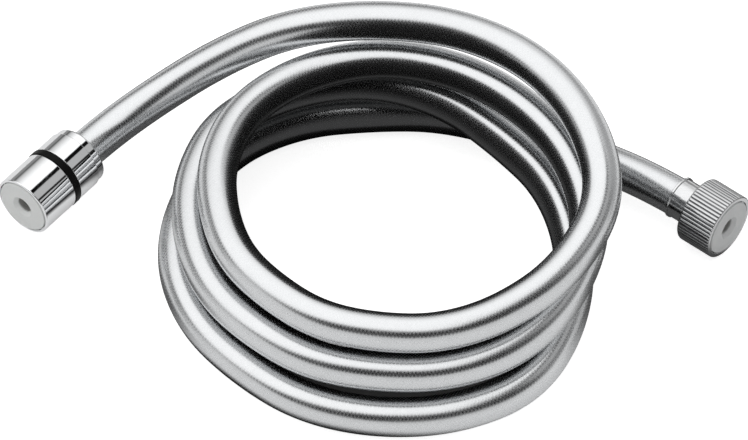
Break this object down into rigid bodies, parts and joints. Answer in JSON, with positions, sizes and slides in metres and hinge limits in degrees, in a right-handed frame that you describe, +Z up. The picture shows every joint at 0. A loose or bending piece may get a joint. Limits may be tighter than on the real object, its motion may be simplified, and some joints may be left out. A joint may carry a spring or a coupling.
{
  "type": "shower hose",
  "caption": "Coiled smooth silver bath sprayer hose with a swivel connector at one end and a knurled union nut at the other.",
  "frame": {"origin": "on the surface that the hose lies on, midway between the two end connectors' outlines", "axes": "+Z up, +X from the swivel connector towards the knurled one, +Y towards the side of the coil where both ends leave it"},
  "size_m": [0.2645, 0.1617, 0.0575],
  "materials": {
    "silver_jacket": "silver film with a fine weave under clear gloss PVC",
    "braid": "white polyester braid",
    "liner": "plain PVC",
    "chrome": "polished chrome on brass",
    "nickel": "nickel plate on turned brass",
    "steel": "satin stainless steel",
    "nylon": "plain nylon",
    "black_plastic": "smooth, lightly glossy",
    "light_grey_rubber": "smooth",
    "grey_rubber": "smooth",
    "black_rubber": "smooth"
  },
  "bodies": {
    "hose": {"hose_jacket_swivel_tail": "silver_jacket", "hose_jacket_coil": "silver_jacket", "hose_jacket_knurled_tail": "silver_jacket", "reinforcement_braid": "braid", "inner_tube": "liner", "swivel_hose_tail": "nickel", "front_o_ring": "black_rubber", "rear_o_ring": "black_rubber", "swivel_crimp": "steel", "rear_cap": "chrome", "rear_sleeve": "chrome", "bearing_ring": "black_plastic", "knurled_washer": "grey_rubber", "knurled_nipple": "nickel", "ferrule": "chrome"},
    "turning_spigot": {"swivel_spigot": "nickel", "swivel_washer": "light_grey_rubber", "retaining_clip": "steel"},
    "swivel_ring": {"swivel_slip_ring": "nylon"},
    "swivel_union": {"swivel_nut": "chrome"},
    "knurled_ring": {"knurled_slip_ring": "nylon"},
    "knurled_union": {"knurled_nut": "chrome"}
  },
  "joints": [
    {"name": "spigot_swivel", "type": "hinge", "parent": "hose", "child": "turning_spigot", "pos_m": [-0.1237, -0.0059, 0.01165], "axis": [-0.6428, -0.766, 0], "continuous": true},
    {"name": "swivel_nut_slide", "type": "slide", "parent": "turning_spigot", "child": "swivel_ring", "axis": [-0.6428, -0.766, 0], "range_m": [0, 0.0088]},
    {"name": "swivel_nut_turn", "type": "hinge", "parent": "swivel_ring", "child": "swivel_union", "pos_m": [-0.1237, -0.0059, 0.01165], "axis": [-0.6428, -0.766, 0], "continuous": true},
    {"name": "knurled_nut_slide", "type": "slide", "parent": "hose", "child": "knurled_ring", "axis": [0.7826, -0.6225, 0], "range_m": [-0.0074, 0.0075]},
    {"name": "knurled_nut_turn", "type": "hinge", "parent": "knurled_ring", "child": "knurled_union", "pos_m": [0.1248, -0.0158, 0.01215], "axis": [0.7826, -0.6225, 0], "continuous": true}
  ]
}
